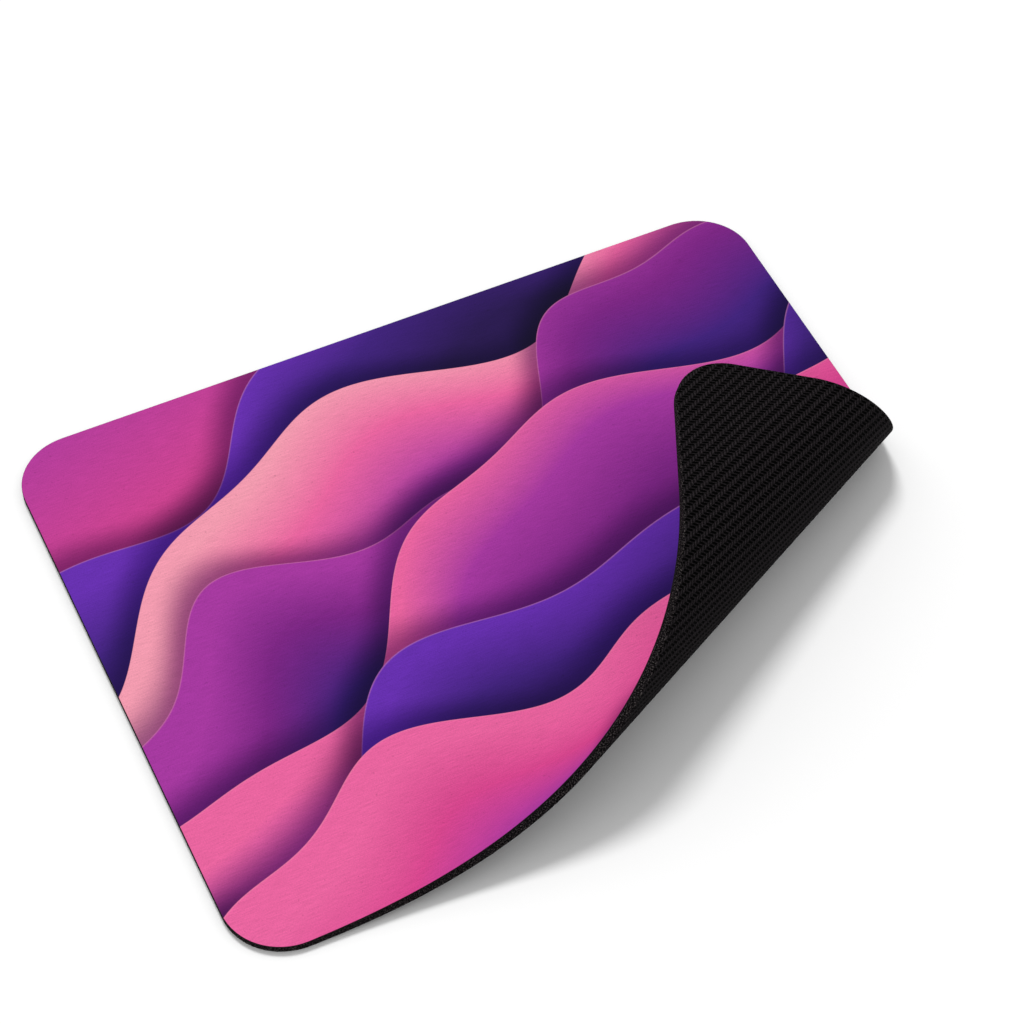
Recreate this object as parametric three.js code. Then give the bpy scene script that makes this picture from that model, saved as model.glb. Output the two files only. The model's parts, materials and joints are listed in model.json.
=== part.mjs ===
// Mouse pad: a printed cloth bonded to a sponge-rubber base, with one corner rolled back over the pad.
// Both sheets are divided along the same fan of fold lines into a panel, fold strips and a corner, so that
// the corner can lie flat on the desk or roll back. The fold lines meet at one apex beside the pad, which
// makes the rolled part a cone, and each line is a hinge at the top face of the cloth.
// Millimetres, +Z up. The origin is the middle of the pad's outline, on the desk under it.

import * as THREE from 'three';

// The pad, laid flat
const LENGTH = 220; // along X, left edge to right edge
const WIDTH = 180; // along Y, front edge to back edge
const CORNER_RADIUS = 16.5;
const CLOTH_THICKNESS = 0.4;
const BASE_THICKNESS = 2.05;
const BOND_LINE = 0.05; // adhesive between the cloth and the base

// The fold, measured along the two edges from the front right corner, which is the one that is rolled back
const START_ON_FRONT = 209; // the pad leaves the desk here
const START_ON_RIGHT = 95;
const END_ON_FRONT = 45; // the bend ends here, and the corner beyond it is flat
const END_ON_RIGHT = 40;
const FOLD_TURN = 168; // degrees, over all fold lines together
const FOLD_LINES = 14;
const STRIP_GAP = 0.3; // between neighbouring strips, so that they clear each other when flat

const ARC_DIVISIONS = 6; // half the straight steps that draw each rounded corner

const CLOTH_FINISH = { color: 0xa43a9c, roughness: 0.9, metalness: 0 };
const BASE_FINISH = { color: 0x161616, roughness: 0.8, metalness: 0 };

const topFace = BASE_THICKNESS + BOND_LINE + CLOTH_THICKNESS;
const foldedCorner = new THREE.Vector2(LENGTH / 2, -WIDTH / 2);

// The point on the front edge, and the one on the right edge, at a length from the folded corner
const onFrontEdge = (length) => new THREE.Vector2(foldedCorner.x - length, foldedCorner.y);
const onRightEdge = (length) => new THREE.Vector2(foldedCorner.x, foldedCorner.y + length);

// The point where the line through a and b meets the line through c and d
function crossing(a, b, c, d) {
  const ab = b.clone().sub(a);
  const cd = d.clone().sub(c);
  const share = c.clone().sub(a).cross(cd) / ab.cross(cd);
  return a.clone().addScaledVector(ab, share);
}

const apex = crossing(
  onFrontEdge(START_ON_FRONT),
  onRightEdge(START_ON_RIGHT),
  onFrontEdge(END_ON_FRONT),
  onRightEdge(END_ON_RIGHT),
);
const startAngle = onFrontEdge(START_ON_FRONT).sub(apex).angle();
const endAngle = onFrontEdge(END_ON_FRONT).sub(apex).angle();

// Fold lines 1 to FOLD_LINES share the bend evenly, each in the middle of its share
const lineAngle = (line) => startAngle + ((line - 0.5) / FOLD_LINES) * (endAngle - startAngle);
const turnAtLine = THREE.MathUtils.degToRad(FOLD_TURN / FOLD_LINES);

// The pad's outline, a rectangle with round corners, as points from the apex
function padOutline() {
  const x = LENGTH / 2 - CORNER_RADIUS;
  const y = WIDTH / 2 - CORNER_RADIUS;
  const quarter = Math.PI / 2;
  const outline = new THREE.Shape();
  outline.absarc(x, y, CORNER_RADIUS, 0, quarter);
  outline.absarc(-x, y, CORNER_RADIUS, quarter, 2 * quarter);
  outline.absarc(-x, -y, CORNER_RADIUS, 2 * quarter, 3 * quarter);
  outline.absarc(x, -y, CORNER_RADIUS, 3 * quarter, 4 * quarter);
  return outline.getPoints(ARC_DIVISIONS).map((point) => point.sub(apex));
}

// The part of a convex outline beyond a fold line (side 1) or before it (side -1), clear of the line
function besideLine(outline, line, side) {
  const angle = lineAngle(line);
  const across = new THREE.Vector2(-Math.sin(angle), Math.cos(angle)).multiplyScalar(side);
  const distance = (point) => across.dot(point) - STRIP_GAP / 2;
  const kept = [];
  outline.forEach((point, i) => {
    const next = outline[(i + 1) % outline.length];
    const here = distance(point);
    const there = distance(next);
    if (here >= 0) {
      kept.push(point);
    }
    if (here * there < 0) {
      kept.push(point.clone().lerp(next, here / (here - there)));
    }
  });
  return kept;
}

// Segment 0 is the panel on the desk, the last one is the corner, and the fold strips lie between them
function segmentOutline(segment) {
  let outline = padOutline();
  if (segment > 0) {
    outline = besideLine(outline, segment, 1);
  }
  if (segment < FOLD_LINES) {
    outline = besideLine(outline, segment + 1, -1);
  }
  return outline;
}

function segmentName(segment) {
  if (segment === 0) {
    return 'panel';
  }
  if (segment === FOLD_LINES) {
    return 'corner';
  }
  return `fold_${String(segment).padStart(2, '0')}`;
}

// One piece of a sheet, from a height below the top face up
function sheetPiece(name, outline, bottom, thickness, finish) {
  const geometry = new THREE.ExtrudeGeometry(new THREE.Shape(outline), {
    depth: thickness,
    bevelEnabled: false,
  });
  geometry.translate(0, 0, bottom);
  const mesh = new THREE.Mesh(geometry, new THREE.MeshStandardMaterial(finish));
  mesh.name = name;
  return mesh;
}

// A group that is turned up about a fold line. Every line runs through the apex, the groups' common origin.
function turnedGroup(line) {
  const angle = lineAngle(line);
  const group = new THREE.Group();
  group.quaternion.setFromAxisAngle(new THREE.Vector3(Math.cos(angle), Math.sin(angle), 0), turnAtLine);
  return group;
}

const mousePad = new THREE.Group();
let carrier = new THREE.Group();
carrier.position.set(apex.x, apex.y, topFace);
mousePad.add(carrier);

for (let segment = 0; segment <= FOLD_LINES; segment += 1) {
  if (segment > 0) {
    const turned = turnedGroup(segment);
    carrier.add(turned);
    carrier = turned;
  }
  const name = segmentName(segment);
  const outline = segmentOutline(segment);
  carrier.add(sheetPiece(`cloth_${name}`, outline, -CLOTH_THICKNESS, CLOTH_THICKNESS, CLOTH_FINISH));
  carrier.add(sheetPiece(`base_${name}`, outline, -topFace, BASE_THICKNESS, BASE_FINISH));
}

export default mousePad;
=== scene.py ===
import json
from math import atan, atan2, cos, pi, radians, sin

import bpy
import numpy as np
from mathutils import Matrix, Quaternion, Vector

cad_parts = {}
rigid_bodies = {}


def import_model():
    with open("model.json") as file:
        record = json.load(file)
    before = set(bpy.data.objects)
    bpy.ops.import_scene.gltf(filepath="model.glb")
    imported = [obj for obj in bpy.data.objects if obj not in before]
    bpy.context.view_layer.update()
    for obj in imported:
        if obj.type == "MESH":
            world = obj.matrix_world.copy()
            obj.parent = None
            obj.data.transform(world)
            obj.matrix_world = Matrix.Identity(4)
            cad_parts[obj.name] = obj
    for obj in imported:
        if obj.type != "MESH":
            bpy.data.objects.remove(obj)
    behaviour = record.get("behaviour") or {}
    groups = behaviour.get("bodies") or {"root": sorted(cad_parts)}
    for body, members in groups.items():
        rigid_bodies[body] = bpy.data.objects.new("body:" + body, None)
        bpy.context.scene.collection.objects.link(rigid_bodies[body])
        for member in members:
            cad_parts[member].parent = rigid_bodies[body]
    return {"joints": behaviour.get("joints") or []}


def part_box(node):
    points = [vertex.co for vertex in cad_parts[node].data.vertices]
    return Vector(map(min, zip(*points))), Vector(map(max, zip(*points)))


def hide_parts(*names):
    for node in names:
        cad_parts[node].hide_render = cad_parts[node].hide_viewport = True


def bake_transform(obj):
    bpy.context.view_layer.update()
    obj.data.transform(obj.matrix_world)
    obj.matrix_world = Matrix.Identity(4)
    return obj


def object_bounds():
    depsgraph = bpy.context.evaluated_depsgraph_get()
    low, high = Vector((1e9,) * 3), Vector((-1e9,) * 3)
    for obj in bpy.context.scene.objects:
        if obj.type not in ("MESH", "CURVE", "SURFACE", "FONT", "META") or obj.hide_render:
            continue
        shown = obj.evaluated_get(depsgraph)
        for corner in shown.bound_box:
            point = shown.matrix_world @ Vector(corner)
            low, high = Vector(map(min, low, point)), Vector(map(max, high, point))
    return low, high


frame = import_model()
cad_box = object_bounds()

# Rubber base: a sheet of black sponge rubber, moulded against a twill cloth on its underside and die-cut to
# the pad's outline. The pad lies on it, and one corner is rolled back as part of a cone, which the frame's
# fold lines share evenly. The sheet is made in one piece per fold line, and each bends at its line.
MM = 0.001
CORNER_RADIUS = 16.5 * MM
CORNER_STEPS = 16  # straight steps that draw each round corner
FOLD_STEPS = 12  # straight steps that draw each fold line's share of the bend
BASE_RIM = 0.5 * MM  # rounding of the lower edge, where the die presses it
RIM_STEPS = 2
SMOOTH_BELOW = radians(15)  # edges that turn by less are shaded smooth
CUT_TOLERANCE = 1e-7  # a point this near to a cut, in metres, lies on it

hinges = frame["joints"]
hinge_axes = np.array([hinge["axis"] for hinge in hinges])
hinge_places = np.array([hinge["pos_m"] for hinge in hinges])

# The apex is the point nearest to all the hinge lines, beside the pad at the height of its top face
across_hinges = np.eye(3) - hinge_axes[:, :, None] * hinge_axes[:, None, :]
apex = np.linalg.solve(across_hinges.sum(0), (across_hinges @ hinge_places[:, :, None]).sum(0)[:, 0])

# On the flat pad, the bend spans an angle round the apex, and each fold line is in the middle of its share
line_share = atan2(np.linalg.norm(np.cross(hinge_axes[0], hinge_axes[1])), hinge_axes[0] @ hinge_axes[1])
bend_start = atan2(hinge_axes[0][1], hinge_axes[0][0]) - line_share / 2
bend_span = line_share * len(hinges)
bend_turn = radians(-hinges[0]["range_deg"][0]) * len(hinges)

# The cone touches the flat pad along the line where the bend starts, and its axis leans up from that line
start_line = np.array([cos(bend_start), sin(bend_start), 0])
start_side = np.array([-sin(bend_start), cos(bend_start), 0])
up = np.array([0, 0, 1])
cone_lean = atan(bend_span / bend_turn)
cone_axis = start_line * cos(cone_lean) + up * sin(cone_lean)


def rolled(flat):
    """The places, with the corner rolled back, of points on the flat pad."""
    out = flat[:, :2] - apex[:2]
    reach = np.hypot(out[:, 0], out[:, 1])[:, None]
    angle = (np.arctan2(out[:, 1], out[:, 0]) - bend_start + pi) % (2 * pi) - pi
    bent = np.clip(angle, 0, bend_span)
    beyond = (angle - bent)[:, None]
    swing = (bent / sin(cone_lean))[:, None]

    def swung(direction):
        along_axis = cone_axis * (cone_axis @ direction)
        from_axis = direction - along_axis
        return along_axis + from_axis * np.cos(swing) + np.cross(cone_axis, direction) * np.sin(swing)

    ruling = swung(start_line) * np.cos(beyond) + swung(start_side) * np.sin(beyond)
    return apex + ruling * reach + swung(up) * (flat[:, 2:] - apex[2])


def on_pad(angle, reach):
    """A point on the flat pad's top face, by its angle past the bend's start and its reach from the apex."""
    return apex + reach * np.array([cos(bend_start + angle), sin(bend_start + angle), 0])


def select_edges(mesh, is_wanted):
    """Selects the edges whose two ends pass a test. It starts in object mode and ends in edit mode."""
    bpy.ops.object.mode_set(mode="EDIT")
    bpy.ops.mesh.select_mode(type="EDGE")
    bpy.ops.mesh.select_all(action="DESELECT")
    bpy.ops.object.mode_set(mode="OBJECT")
    for edge in mesh.edges:
        ends = [mesh.vertices[i].co for i in edge.vertices]
        edge.select = is_wanted(*ends)
    bpy.ops.object.mode_set(mode="EDIT")


def flat_sheet(name, low, high, rim_height, rim):
    """A sheet with round corners, laid flat, with the rim at one height rounded off."""
    bpy.ops.object.select_all(action="DESELECT")
    bpy.ops.mesh.primitive_cube_add(size=1, location=(low + high) / 2)
    sheet = bpy.context.object
    sheet.name = sheet.data.name = name
    sheet.scale = high - low
    bpy.ops.object.transform_apply()
    select_edges(sheet.data, lambda a, b: abs(a.z - b.z) > rim)
    bpy.ops.mesh.bevel(offset=CORNER_RADIUS, segments=CORNER_STEPS, affect="EDGES")
    bpy.ops.object.mode_set(mode="OBJECT")
    select_edges(sheet.data, lambda a, b: max(abs(a.z - rim_height), abs(b.z - rim_height)) < rim / 2)
    bpy.ops.mesh.bevel(offset=rim, segments=RIM_STEPS, affect="EDGES")
    bpy.ops.object.mode_set(mode="OBJECT")
    return sheet


def cut_at(angle, keep=None):
    """Cuts the flat piece in hand along a line through the apex, and may keep only one side of it."""
    bpy.ops.mesh.select_all(action="SELECT")
    bpy.ops.mesh.bisect(
        plane_co=apex,
        plane_no=(-sin(bend_start + angle), cos(bend_start + angle), 0),
        use_fill=keep is not None,
        clear_inner=keep == "after",
        clear_outer=keep == "before",
        threshold=CUT_TOLERANCE,
    )


def rolled_pieces(sheet, material, node_prefix):
    """Makes a flat sheet into one rolled piece per fold line, which bends at that line."""
    pieces = []
    for line, hinge in enumerate(hinges):
        first = line == 0
        last = line == len(hinges) - 1
        share_start = line * line_share
        share_end = (line + 1) * line_share
        piece = sheet.copy()
        piece.data = sheet.data.copy()
        piece.name = piece.data.name = f"{sheet.name}_{line + 1:02d}"
        bpy.context.scene.collection.objects.link(piece)
        bpy.ops.object.select_all(action="DESELECT")
        piece.select_set(True)
        bpy.context.view_layer.objects.active = piece
        bpy.ops.object.mode_set(mode="EDIT")
        cut_at(share_start, None if first else "after")
        cut_at(share_end, None if last else "before")
        for step in range(1, FOLD_STEPS):
            cut_at((line + step / FOLD_STEPS) * line_share)
        bpy.ops.mesh.select_all(action="SELECT")
        bpy.ops.mesh.normals_make_consistent(inside=False)
        bpy.ops.object.mode_set(mode="OBJECT")

        # Each point keeps its place on the flat pad, for the patterns, and then goes to its rolled place
        flat = np.zeros(len(piece.data.vertices) * 3)
        piece.data.vertices.foreach_get("co", flat)
        laid_flat = piece.data.attributes.new("laid_flat", "FLOAT_VECTOR", "POINT")
        laid_flat.data.foreach_set("vector", flat)
        piece.data.vertices.foreach_set("co", rolled(flat.reshape(-1, 3)).ravel())
        bpy.ops.object.shade_smooth_by_angle(angle=SMOOTH_BELOW)
        piece.data.materials.append(material)

        reach = np.linalg.norm(hinge_places[line] - apex)
        limits = rolled(np.array([on_pad(share_start, reach), on_pad(share_end, reach)]))
        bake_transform(piece)
        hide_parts(f"{node_prefix}_{hinge['parent']}")
        if last:
            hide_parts(f"{node_prefix}_{hinge['child']}")
        pieces.append(piece)
    bpy.data.objects.remove(sheet)
    return pieces


def linear(colour):
    """The linear RGBA of an sRGB hex colour."""
    channels = [int(colour[i:i + 2], 16) / 255 for i in (0, 2, 4)]
    return [c / 12.92 if c <= 0.04045 else ((c + 0.055) / 1.055) ** 2.4 for c in channels] + [1]


def node(tree, kind, inputs, **settings):
    """Adds a shader node. Each input is a value, or an output or a node to link."""
    made = tree.nodes.new(kind)
    for name, value in settings.items():
        setattr(made, name, value)
    for socket, value in inputs.items():
        if isinstance(value, bpy.types.Node):
            value = next(output for output in value.outputs if output.enabled)
        if isinstance(value, bpy.types.NodeSocket):
            tree.links.new(value, made.inputs[socket])
        else:
            made.inputs[socket].default_value = value
    return made


# Sponge rubber: matt black, with open cells on its cut side and the relief of a 2/2 twill on its underside,
# where pits two threads long lie along Y, in diagonal rows between rows of ridges along X.
# Its colour follows the relief: painted shade darkens the pits and the deep cells, and a painted highlight
# lightens the ridges and the walls between cells.
WARP_PITCH = 0.86 * MM  # threads of the twill cloth that the underside was moulded against
WARP_LEAN = radians(10)  # to the right of the pad's Y axis
WEFT_PITCH = 0.775 * MM  # along X
TWILL_REPEAT = 4  # threads
TWILL_FLOAT = 2  # threads that each pit or ridge runs over
END_POWER = 0.35  # below 1, which keeps a pit or a ridge full up to its ends
SIDE_POWER = 1.8  # above 1, which narrows it and leaves a wall on each side
RELIEF = 0.15 * MM  # the levels and heights that follow are multiples of it
PIT_RIM = 0.25
PIT_DEPTH = 2.2
RIDGE_FOOT = -0.2
RIDGE_HEIGHT = 0.62
DARKEST_LEVEL = -0.6
LIGHTEST_LEVEL = 1
# tones from pit to ridge: painted shade in the pits, a painted highlight on the ridges
RUBBER_SHADING_TONES = ((0, "000000"), (0.38, "110f10"), (0.75, "322d30"), (1, "524d4b"))  # over those two levels
SPONGE_CELL = 0.36 * MM
CELL_CONTRAST = (0.39, 0.64)  # noise values of the deepest cells and of the walls between cells
UNDERSIDE_GRAIN = 0.3  # share of the sponge's grain that shows on the moulded underside
TWILL_END = 0.1  # share of the rim's rounding up to which the twill goes


def sponge_rubber(underside):
    material = bpy.data.materials.new("sponge_rubber")
    material.use_nodes = True
    tree = material.node_tree
    tree.nodes.clear()
    place = node(tree, "ShaderNodeAttribute", {}, attribute_name="laid_flat").outputs["Vector"]

    # The twill: its threads are counted both ways. A Mix node's inputs 2 and 3 are its two values.
    across_warp = (cos(WARP_LEAN) / WARP_PITCH, -sin(WARP_LEAN) / WARP_PITCH, 0)
    across_weft = (0, 1 / WEFT_PITCH, 0)
    warp = node(tree, "ShaderNodeVectorMath", {0: place, 1: across_warp}, operation="DOT_PRODUCT")
    weft = node(tree, "ShaderNodeVectorMath", {0: place, 1: across_weft}, operation="DOT_PRODUCT")
    warp_thread = node(tree, "ShaderNodeMath", {0: warp}, operation="FLOOR")
    weft_thread = node(tree, "ShaderNodeMath", {0: weft}, operation="FLOOR")
    in_warp = node(tree, "ShaderNodeMath", {0: warp}, operation="FRACT")
    in_weft = node(tree, "ShaderNodeMath", {0: weft}, operation="FRACT")
    diagonal = node(tree, "ShaderNodeMath", {0: weft_thread, 1: warp_thread}, operation="SUBTRACT")
    phase = node(tree, "ShaderNodeMath", {0: diagonal, 1: TWILL_REPEAT}, operation="FLOORED_MODULO")
    is_pit = node(tree, "ShaderNodeMath", {0: phase, 1: TWILL_FLOAT - 0.5}, operation="LESS_THAN")
    pit_along = node(tree, "ShaderNodeMath", {0: phase, 1: in_weft}, operation="ADD")
    ridge_phase = node(tree, "ShaderNodeMath", {0: TWILL_REPEAT - 1, 1: phase}, operation="SUBTRACT")
    ridge_along = node(tree, "ShaderNodeMath", {0: ridge_phase, 1: in_warp}, operation="ADD")
    along = node(tree, "ShaderNodeMix", {0: is_pit, 2: ridge_along, 3: pit_along})
    across = node(tree, "ShaderNodeMix", {0: is_pit, 2: in_weft, 3: in_warp})
    along_turn = node(tree, "ShaderNodeMath", {0: along, 1: pi / TWILL_FLOAT}, operation="MULTIPLY")
    across_turn = node(tree, "ShaderNodeMath", {0: across, 1: pi}, operation="MULTIPLY")
    along_round = node(tree, "ShaderNodeMath", {0: along_turn}, operation="SINE")
    across_round = node(tree, "ShaderNodeMath", {0: across_turn}, operation="SINE")
    along_full = node(tree, "ShaderNodeMath", {0: along_round, 1: END_POWER}, operation="POWER")
    across_narrow = node(tree, "ShaderNodeMath", {0: across_round, 1: SIDE_POWER}, operation="POWER")
    swell = node(tree, "ShaderNodeMath", {0: along_full, 1: across_narrow}, operation="MULTIPLY")
    pit = node(tree, "ShaderNodeMath", {0: swell, 1: -PIT_DEPTH, 2: PIT_RIM}, operation="MULTIPLY_ADD")
    ridge = node(
        tree, "ShaderNodeMath", {0: swell, 1: RIDGE_HEIGHT, 2: RIDGE_FOOT}, operation="MULTIPLY_ADD"
    )
    twill = node(tree, "ShaderNodeMix", {0: is_pit, 2: ridge, 3: pit})

    # The sponge's cells, which show in full on the cut side, as relief and as painted shade in the deep
    # cells with a painted highlight on the walls between them
    cells = node(
        tree, "ShaderNodeTexNoise",
        {"Vector": place, "Scale": 1 / SPONGE_CELL, "Detail": 2, "Roughness": 0.6},
    )
    grain = node(
        tree, "ShaderNodeMapRange",
        {
            "Value": cells.outputs[0], "From Min": CELL_CONTRAST[0], "From Max": CELL_CONTRAST[1],
            "To Min": DARKEST_LEVEL, "To Max": LIGHTEST_LEVEL,
        },
    )
    grained_twill = node(
        tree, "ShaderNodeMath", {0: grain, 1: UNDERSIDE_GRAIN, 2: twill}, operation="MULTIPLY_ADD"
    )
    height = node(tree, "ShaderNodeSeparateXYZ", {0: place}).outputs["Z"]
    twill_top = underside + BASE_RIM * TWILL_END
    is_under = node(tree, "ShaderNodeMath", {0: height, 1: twill_top}, operation="LESS_THAN")
    surface = node(tree, "ShaderNodeMix", {0: is_under, 2: grain, 3: grained_twill})

    # Painted shade and highlight: the colour is darker where the relief is low and lighter where it is high
    relief_shading = node(
        tree, "ShaderNodeMapRange", {"Value": surface, "From Min": DARKEST_LEVEL, "From Max": LIGHTEST_LEVEL}
    )
    colour = node(tree, "ShaderNodeValToRGB", {"Fac": relief_shading})
    stops = colour.color_ramp.elements
    for position, tone in RUBBER_SHADING_TONES[1:-1]:
        stops.new(position)
    for stop, (position, tone) in zip(stops, RUBBER_SHADING_TONES):
        stop.color = linear(tone)
    bump = node(tree, "ShaderNodeBump", {"Height": surface, "Distance": RELIEF, "Strength": 1})
    shader = node(
        tree, "ShaderNodeBsdfPrincipled",
        {"Base Color": colour, "Roughness": 0.7, "IOR": 1.5, "Specular IOR Level": 0.01, "Normal": bump},
    )
    node(tree, "ShaderNodeOutputMaterial", {"Surface": shader})
    return material


base_low, base_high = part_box("base_panel")
half_pad = Vector((-base_low.x, base_high.y, 0))
base_sheet = flat_sheet(
    "rubber_base",
    Vector((-half_pad.x, -half_pad.y, base_low.z)),
    Vector((half_pad.x, half_pad.y, base_high.z)),
    base_low.z,
    BASE_RIM,
)
base_pieces = rolled_pieces(base_sheet, sponge_rubber(base_low.z), "base")


# Printed cloth: a thin woven polyester cloth, glued to the rubber and cut with it. Its top face is
# dye-printed with layers of rolling waves in pink, magenta and violet, and its cut side stays dark.
CLOTH_RIM = 0.12 * MM  # rounding of the upper edge
DARK_RIM = 0.2  # share of the rounding below which the edge is as dark as the cut side
CUT_SIDE = "141013"

# The weave and what lies in it
THREAD_PITCH = 0.3 * MM  # a real thread is about 0.2 mm, too fine to show, so the weave is drawn coarser
WEFT_STREAK = 16  # thread pitches that a thick or thin place runs on, in a weft thread along X
WARP_STREAK = 2  # and in a warp thread along Y
WEAVE_DEPTH = 0.03 * MM
WEAVE_CONTRAST = (0.7, 1.3)  # noise values of the gaps between threads and of the threads' backs
# painted shade in the gaps between threads and a painted highlight on the threads' backs
WEAVE_SHADE_AND_HIGHLIGHT = (0.86, 1.1)  # how much of the print's colour each of the two gives
SPECK_SIZE = 0.9 * MM
SPECK_CONTRAST = (0.7, 0.78)  # noise values of clean cloth and of lint
SPECK_TONES = (1, 0.82)

# The print, whose lengths are in mm
INKS = {
    "blush": "ee98ac",
    "pink": "e5629c",
    "rose": "d04289",
    "magenta": "a2359c",
    "plum": "782080",
    "violet": "642cac",
    "indigo": "3d1d78",
    "navy": "25124c",
}
BACKDROP_FADE = (70, 140)  # heights up the pad between which the backdrop turns from rose to magenta
WAVE_SLANT = radians(-24)
WAVE_FADE = 46  # depth below its crest over which a wave runs through its inks
WAVE_MIDDLE = 0.45  # share of that depth at which it has its middle ink
WAVE_DRIFT = 0.12  # depth that it gains for each mm along the wave
WAVE_RIM = 0.5  # width of the pale line along a crest
RIM_LEVEL = 0.35
WAVE_SHADOW = 13  # width of the wave behind that each crest darkens
SHADOW_LEVEL = 0.8
SHADOW_TINT = "7a4a9c"
INK_BLEED = 0.1  # to each side of a crest
# The waves from back to front: the crest's height up the pad, its swings as height, length and phase in
# radians, and its inks from the crest down
WAVES = [
    (88, ((13, 170, 0.3), (4, 71, 2.0)), ("violet", "indigo", "navy")),
    (62, ((15, 190, 2.2), (5, 83, 0.4)), ("blush", "pink", "magenta")),
    (34, ((14, 150, 4.1), (5, 64, 1.1)), ("magenta", "plum", "indigo")),
    (12, ((17, 205, 0.9), (4, 77, 3.0)), ("pink", "magenta", "plum")),
    (-18, ((13, 165, 2.9), (6, 90, 5.2)), ("violet", "indigo", "navy")),
    (-32, ((14, 200, 4.4), (5, 72, 0.9)), ("pink", "rose", "magenta")),
    (-78, ((14, 160, 1.2), (6, 75, 4.0)), ("violet", "magenta", "plum")),
]


# Printed polyester: matt and a little grainy from its threads, with streaks along the weft and a few dark
# specks of lint. The weave shows through every colour of the print as painted shade in the gaps between
# threads and a painted highlight on the threads' backs.
def printed_polyester(top):
    material = bpy.data.materials.new("printed_polyester")
    material.use_nodes = True
    tree = material.node_tree
    tree.nodes.clear()
    place = node(tree, "ShaderNodeAttribute", {}, attribute_name="laid_flat").outputs["Vector"]

    # The print. A Mix node's inputs 6 and 7 are its two colours.
    slanted = node(
        tree, "ShaderNodeMapping", {"Vector": place, "Rotation": (0, 0, WAVE_SLANT), "Scale": (1 / MM,) * 3}
    )
    slanted_xyz = node(tree, "ShaderNodeSeparateXYZ", {0: slanted}).outputs
    along = slanted_xyz["X"]
    across = slanted_xyz["Y"]
    backdrop = node(
        tree, "ShaderNodeMapRange",
        {"Value": across, "From Min": BACKDROP_FADE[0], "From Max": BACKDROP_FADE[1]},
    )
    print_colour = node(
        tree, "ShaderNodeMix", {0: backdrop, 6: linear(INKS["rose"]), 7: linear(INKS["magenta"])},
        data_type="RGBA",
    )
    for crest, swings, inks in WAVES:
        depth = node(tree, "ShaderNodeMath", {0: crest, 1: across}, operation="SUBTRACT")
        for height, length, phase in swings:
            turn = node(
                tree, "ShaderNodeMath", {0: along, 1: 2 * pi / length, 2: phase}, operation="MULTIPLY_ADD"
            )
            swing = node(tree, "ShaderNodeMath", {0: turn}, operation="SINE")
            depth = node(tree, "ShaderNodeMath", {0: swing, 1: height, 2: depth}, operation="MULTIPLY_ADD")
        drifted = node(
            tree, "ShaderNodeMath", {0: along, 1: WAVE_DRIFT, 2: depth}, operation="MULTIPLY_ADD"
        )
        fade = node(tree, "ShaderNodeMapRange", {"Value": drifted, "From Max": WAVE_FADE})
        fill = node(tree, "ShaderNodeValToRGB", {"Fac": fade})
        stops = fill.color_ramp.elements
        stops.new(WAVE_MIDDLE)
        for stop, ink in zip(stops, inks):
            stop.color = linear(INKS[ink])
        rim = node(
            tree, "ShaderNodeMapRange",
            {"Value": depth, "From Max": WAVE_RIM, "To Min": RIM_LEVEL, "To Max": 0},
        )
        rimmed = node(tree, "ShaderNodeMix", {0: rim, 6: fill, 7: linear(INKS["blush"])}, data_type="RGBA")
        shade = node(
            tree, "ShaderNodeMapRange",
            {"Value": depth, "From Min": -WAVE_SHADOW, "From Max": 0, "To Max": SHADOW_LEVEL},
            interpolation_type="SMOOTHSTEP",
        )
        shaded = node(
            tree, "ShaderNodeMix", {0: shade, 6: print_colour, 7: linear(SHADOW_TINT)},
            data_type="RGBA", blend_type="MULTIPLY",
        )
        covers = node(
            tree, "ShaderNodeMapRange", {"Value": depth, "From Min": -INK_BLEED, "From Max": INK_BLEED}
        )
        print_colour = node(tree, "ShaderNodeMix", {0: covers, 6: shaded, 7: rimmed}, data_type="RGBA")

    # The weave: threads both ways that vary in thickness, with painted shade in their gaps and a painted
    # highlight on their backs, and the lint
    weft = node(
        tree, "ShaderNodeMapping",
        {"Vector": place, "Scale": (1 / THREAD_PITCH / WEFT_STREAK, 1 / THREAD_PITCH, 0)},
    )
    warp = node(
        tree, "ShaderNodeMapping",
        {"Vector": place, "Scale": (1 / THREAD_PITCH, 1 / THREAD_PITCH / WARP_STREAK, 0)},
    )
    weft_threads = node(tree, "ShaderNodeTexNoise", {"Vector": weft, "Scale": 1, "Detail": 2})
    warp_threads = node(tree, "ShaderNodeTexNoise", {"Vector": warp, "Scale": 1, "Detail": 2})
    weave = node(
        tree, "ShaderNodeMath", {0: weft_threads.outputs[0], 1: warp_threads.outputs[0]}, operation="ADD"
    )
    weave_shading = node(
        tree, "ShaderNodeMapRange",
        {
            "Value": weave, "From Min": WEAVE_CONTRAST[0], "From Max": WEAVE_CONTRAST[1],
            "To Min": WEAVE_SHADE_AND_HIGHLIGHT[0], "To Max": WEAVE_SHADE_AND_HIGHLIGHT[1],
        },
    )
    lint = node(tree, "ShaderNodeTexNoise", {"Vector": place, "Scale": 1 / SPECK_SIZE, "Detail": 1})
    speck_tone = node(
        tree, "ShaderNodeMapRange",
        {
            "Value": lint.outputs[0], "From Min": SPECK_CONTRAST[0], "From Max": SPECK_CONTRAST[1],
            "To Min": SPECK_TONES[0], "To Max": SPECK_TONES[1],
        },
    )
    # the weave's painted shade and highlight, times the real specks of lint
    tone = node(tree, "ShaderNodeMath", {0: weave_shading, 1: speck_tone}, operation="MULTIPLY")
    toned = node(
        tree, "ShaderNodeMix", {0: 1, 6: print_colour, 7: tone}, data_type="RGBA", blend_type="MULTIPLY"
    )

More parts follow.
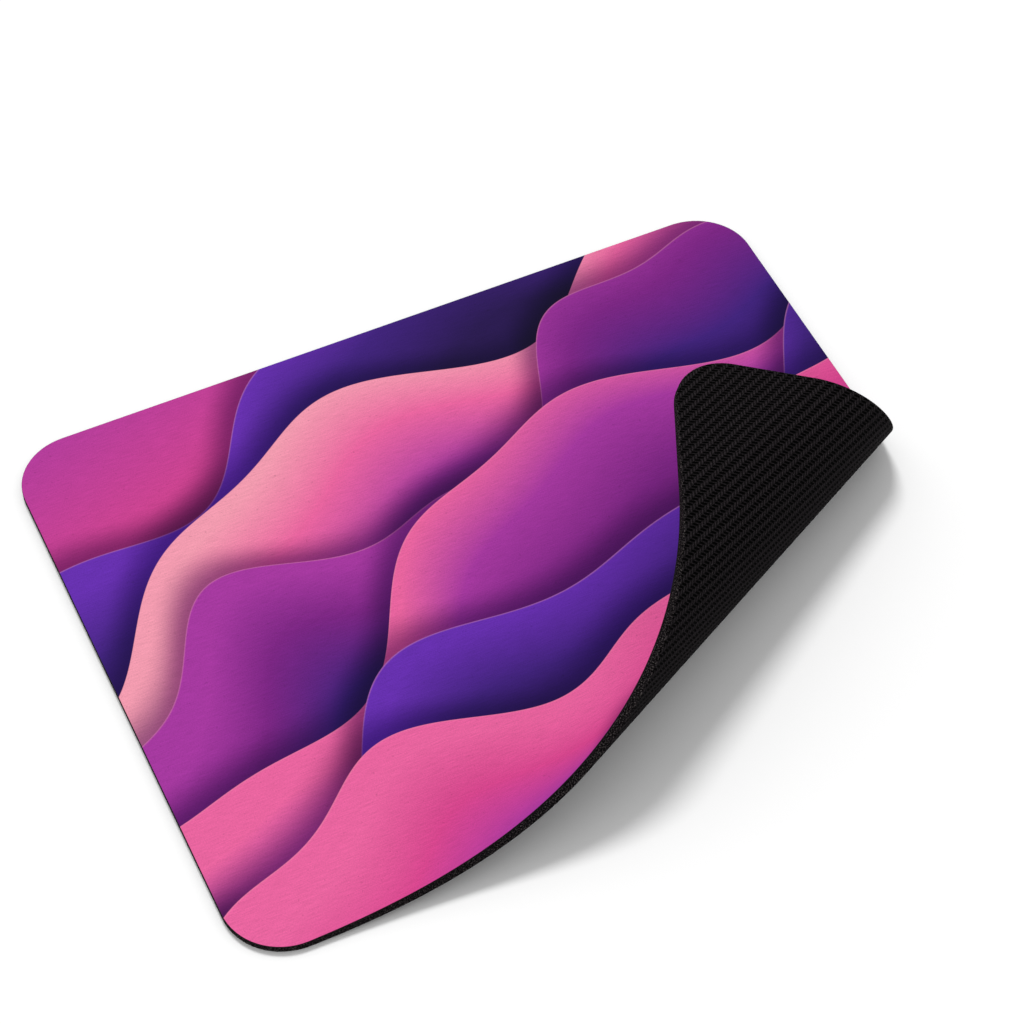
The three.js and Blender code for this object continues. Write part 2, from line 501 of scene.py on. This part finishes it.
    # The cut side and the rim that rounds into it
    height = node(tree, "ShaderNodeSeparateXYZ", {0: place}).outputs["Z"]
    is_side = node(tree, "ShaderNodeMath", {0: height, 1: top - CLOTH_RIM * DARK_RIM}, operation="LESS_THAN")
    colour = node(tree, "ShaderNodeMix", {0: is_side, 6: toned, 7: linear(CUT_SIDE)}, data_type="RGBA")
    bump = node(tree, "ShaderNodeBump", {"Height": weave, "Distance": WEAVE_DEPTH, "Strength": 0.6})
    shader = node(
        tree, "ShaderNodeBsdfPrincipled",
        {"Base Color": colour, "Roughness": 0.85, "Specular IOR Level": 0.1, "Normal": bump},
    )
    node(tree, "ShaderNodeOutputMaterial", {"Surface": shader})
    return material


cloth_low, cloth_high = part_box("cloth_panel")
cloth_sheet = flat_sheet(
    "printed_cloth",
    Vector((-half_pad.x, -half_pad.y, cloth_low.z)),
    Vector((half_pad.x, half_pad.y, cloth_high.z)),
    cloth_high.z,
    CLOTH_RIM,
)
cloth_pieces = rolled_pieces(cloth_sheet, printed_polyester(cloth_high.z), "cloth")


# Studio: a plain white floor that keeps the pad's shadow, a broad lamp high above and a little behind it,
# and light from all round. The lamp's direction was fitted to the edge of the shadow in the photograph.
FLOOR_SIZE = 4
SEEN_WHITE = linear("ffffff")
PAPER_WHITE = linear("e7e7e7")
AMBIENT_LEVEL = 0.62
KEY_LEVEL = 0.44
KEY_DIRECTION = Vector((0.1, 0.5, 1))  # towards the lamp
KEY_WIDTH = radians(15)


def is_seen(tree):
    """1 for what the camera sees, also in a reflection or through a clear surface."""
    path = node(tree, "ShaderNodeLightPath", {}).outputs
    seen = node(
        tree, "ShaderNodeMath", {0: path["Is Camera Ray"], 1: path["Is Glossy Ray"]}, operation="MAXIMUM"
    )
    return node(tree, "ShaderNodeMath", {0: seen, 1: path["Is Transmission Ray"]}, operation="MAXIMUM")


bpy.ops.object.select_all(action="DESELECT")
bpy.ops.mesh.primitive_plane_add(size=FLOOR_SIZE, location=(0, 0, cad_box[0].z))
floor = bpy.context.object
floor.name = "floor"

# White paper: plain white where it is seen, and lighting the pad from below as real paper does
paper = bpy.data.materials.new("white_paper")
paper.use_nodes = True
paper_tree = paper.node_tree
paper_tree.nodes.clear()
paper_lit = node(paper_tree, "ShaderNodeBsdfDiffuse", {"Color": PAPER_WHITE})
paper_seen = node(paper_tree, "ShaderNodeBsdfDiffuse", {"Color": SEEN_WHITE})
paper_mix = node(paper_tree, "ShaderNodeMixShader", {0: is_seen(paper_tree), 1: paper_lit, 2: paper_seen})
node(paper_tree, "ShaderNodeOutputMaterial", {"Surface": paper_mix})
floor.data.materials.append(paper)

world = bpy.data.worlds.new("studio")
world.use_nodes = True
world_tree = world.node_tree
world_tree.nodes.clear()
bpy.context.scene.world = world
ambient = node(world_tree, "ShaderNodeBackground", {"Color": SEEN_WHITE, "Strength": AMBIENT_LEVEL})
surround = node(world_tree, "ShaderNodeBackground", {"Color": SEEN_WHITE, "Strength": 1})
world_mix = node(world_tree, "ShaderNodeMixShader", {0: is_seen(world_tree), 1: ambient, 2: surround})
node(world_tree, "ShaderNodeOutputWorld", {"Surface": world_mix})

lamp = bpy.data.lights.new("key", "SUN")
lamp.angle = KEY_WIDTH
lamp.energy = KEY_LEVEL * pi / KEY_DIRECTION.normalized().z
key = bpy.data.objects.new("key", lamp)
key.rotation_mode = "QUATERNION"
key.rotation_quaternion = KEY_DIRECTION.to_track_quat("Z", "Y")
bpy.context.scene.collection.objects.link(key)


# Camera: it stands in front of the pad, a little to its left, and looks down on it at about 50 degrees.
# Its place, roll and focal length were fitted to the pad's straight edges in the photograph.
PHOTO_SIZE = 1024  # pixels
FOCAL_LENGTH = 3326  # pixels
SENSOR_WIDTH = 36  # mm
CAMERA_AZIMUTH = radians(-22.587)
CAMERA_ELEVATION = radians(50.454)
CAMERA_ROLL = radians(-2.463)
CAMERA_DISTANCE = 0.8987
CAMERA_TARGET = Vector((0.008153, 0.013878, 0))

lens = bpy.data.cameras.new("camera")
lens.sensor_width = SENSOR_WIDTH
lens.lens = FOCAL_LENGTH / PHOTO_SIZE * SENSOR_WIDTH
camera = bpy.data.objects.new("camera", lens)
bpy.context.scene.collection.objects.link(camera)
bpy.context.scene.camera = camera
towards_camera = Vector((
    sin(CAMERA_AZIMUTH) * cos(CAMERA_ELEVATION),
    -cos(CAMERA_AZIMUTH) * cos(CAMERA_ELEVATION),
    sin(CAMERA_ELEVATION),
))
camera.location = CAMERA_TARGET + towards_camera * CAMERA_DISTANCE
camera.rotation_mode = "QUATERNION"
camera.rotation_quaternion = towards_camera.to_track_quat("Z", "Y") @ Quaternion((0, 0, 1), CAMERA_ROLL)

bpy.context.scene.view_settings.view_transform = "Standard"
